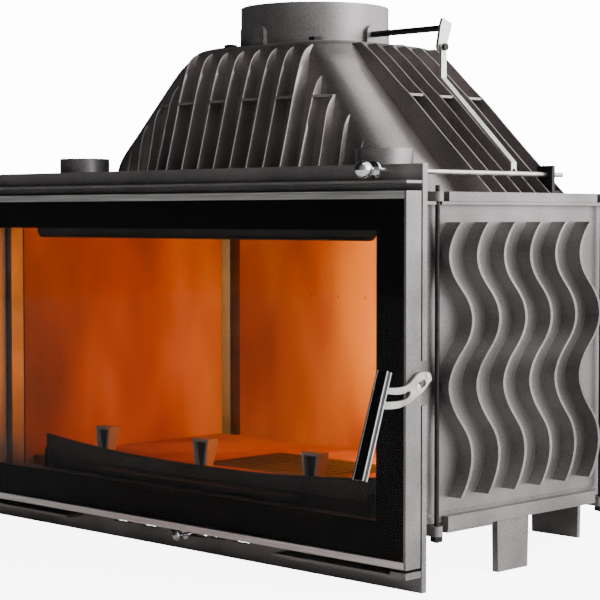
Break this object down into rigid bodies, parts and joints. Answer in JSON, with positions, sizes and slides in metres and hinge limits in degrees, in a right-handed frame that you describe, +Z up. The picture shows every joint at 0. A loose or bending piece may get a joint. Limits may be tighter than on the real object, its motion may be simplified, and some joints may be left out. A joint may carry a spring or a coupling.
{
  "type": "fireplace insert",
  "caption": "Wide cast-iron fireplace insert with a side-hung glass door, finned side walls, a finned smoke hood, a round flue collar with a damper, and sliding air and flue controls.",
  "frame": {"origin": "on the floor, under the middle of the insert's box; X is measured from the middle plane of the stove", "axes": "+X to the right seen from the front, +Y towards the back, +Z up"},
  "size_m": [0.8225, 0.5334, 0.6968],
  "materials": {
    "graphite_iron": "fine sand-cast grain, graphite paint",
    "bright_strip": "brushed along its length",
    "chrome_part": "polished",
    "zinc_part": "zinc plated, matt",
    "black_steel": "black, satin",
    "black_lacquer": "black lacquer, semi-gloss",
    "clear_glass": "clear ceramic glass",
    "glass_print": "black enamel print",
    "firebrick": "dry, sooty",
    "rope": "braided glass fibre, grey"
  },
  "bodies": {
    "body": {"front_plate": "graphite_iron", "air_skirt": "graphite_iron", "shutter_rails": "graphite_iron", "base_plate": "graphite_iron", "top_plate": "graphite_iron", "right_spigot": "graphite_iron", "left_spigot": "graphite_iron", "tie_rods": "black_steel", "tie_nuts": "black_steel", "right_wall": "graphite_iron", "left_wall": "graphite_iron", "back_wall": "graphite_iron", "front_feet": "graphite_iron", "rear_feet": "graphite_iron", "hood": "graphite_iron", "flue_collar": "graphite_iron", "collar_bolts": "zinc_part", "rod_guide": "black_steel", "right_lining": "firebrick", "left_lining": "firebrick", "back_lining": "firebrick", "hearth_slab": "firebrick", "grate": "graphite_iron", "baffle_plate": "firebrick", "log_retainer": "graphite_iron", "log_posts": "graphite_iron", "air_wash_bar": "graphite_iron", "hinge_pins": "black_steel", "hinge_washer": "zinc_part"},
    "shutter": {"air_shutter": "zinc_part", "air_knob": "chrome_part"},
    "damper": {"damper_shaft": "black_steel", "damper_disc": "graphite_iron", "damper_crank": "zinc_part", "crank_pin": "black_steel"},
    "link": {"damper_link": "zinc_part"},
    "pull": {"pull_rod": "zinc_part", "pull_knob": "chrome_part"},
    "door": {"door_frame": "graphite_iron", "door_seal": "rope", "hinge_blocks": "black_steel", "top_strip": "bright_strip", "bottom_strip": "bright_strip", "door_glass": "clear_glass", "glass_border": "glass_print", "glass_gasket": "rope", "handle_pivot": "zinc_part"},
    "handle": {"handle_lever": "zinc_part", "latch_pin": "zinc_part", "handle_bar": "black_lacquer", "handle_trims": "chrome_part"}
  },
  "joints": [
    {"name": "door_hinge", "type": "hinge", "parent": "body", "child": "door", "pos_m": [-0.397, -0.1705, 0.2384], "axis": [0, 0, -1], "range_deg": [0, 100]},
    {"name": "handle_lift", "type": "hinge", "parent": "door", "child": "handle", "pos_m": [0.4093, -0.1704, 0.2316], "axis": [-1, 0, 0], "range_deg": [0, 25]},
    {"name": "air_slide", "type": "slide", "parent": "body", "child": "shutter", "axis": [1, 0, 0], "range_m": [-0.03, 0.025]},
    {"name": "damper_turn", "type": "hinge", "parent": "body", "child": "damper", "pos_m": [0, 0.0873, 0.6565], "axis": [1, 0, 0], "range_deg": [-20, 35]},
    {"name": "pull_slide", "type": "slide", "parent": "body", "child": "pull", "axis": [0, 1, 0], "range_m": [-0.009, 0.0155]},
    {"name": "link_pivot", "type": "hinge", "parent": "damper", "child": "link", "pos_m": [0.2325, 0.0797, 0.63164], "axis": [1, 0, 0], "range_deg": [-36, 21]}
  ],
  "couplings": [
    {"joint": "pull_slide", "follows": "damper_turn", "m_per_rad": 0.0245},
    {"joint": "link_pivot", "follows": "damper_turn", "ratio": -1}
  ]
}
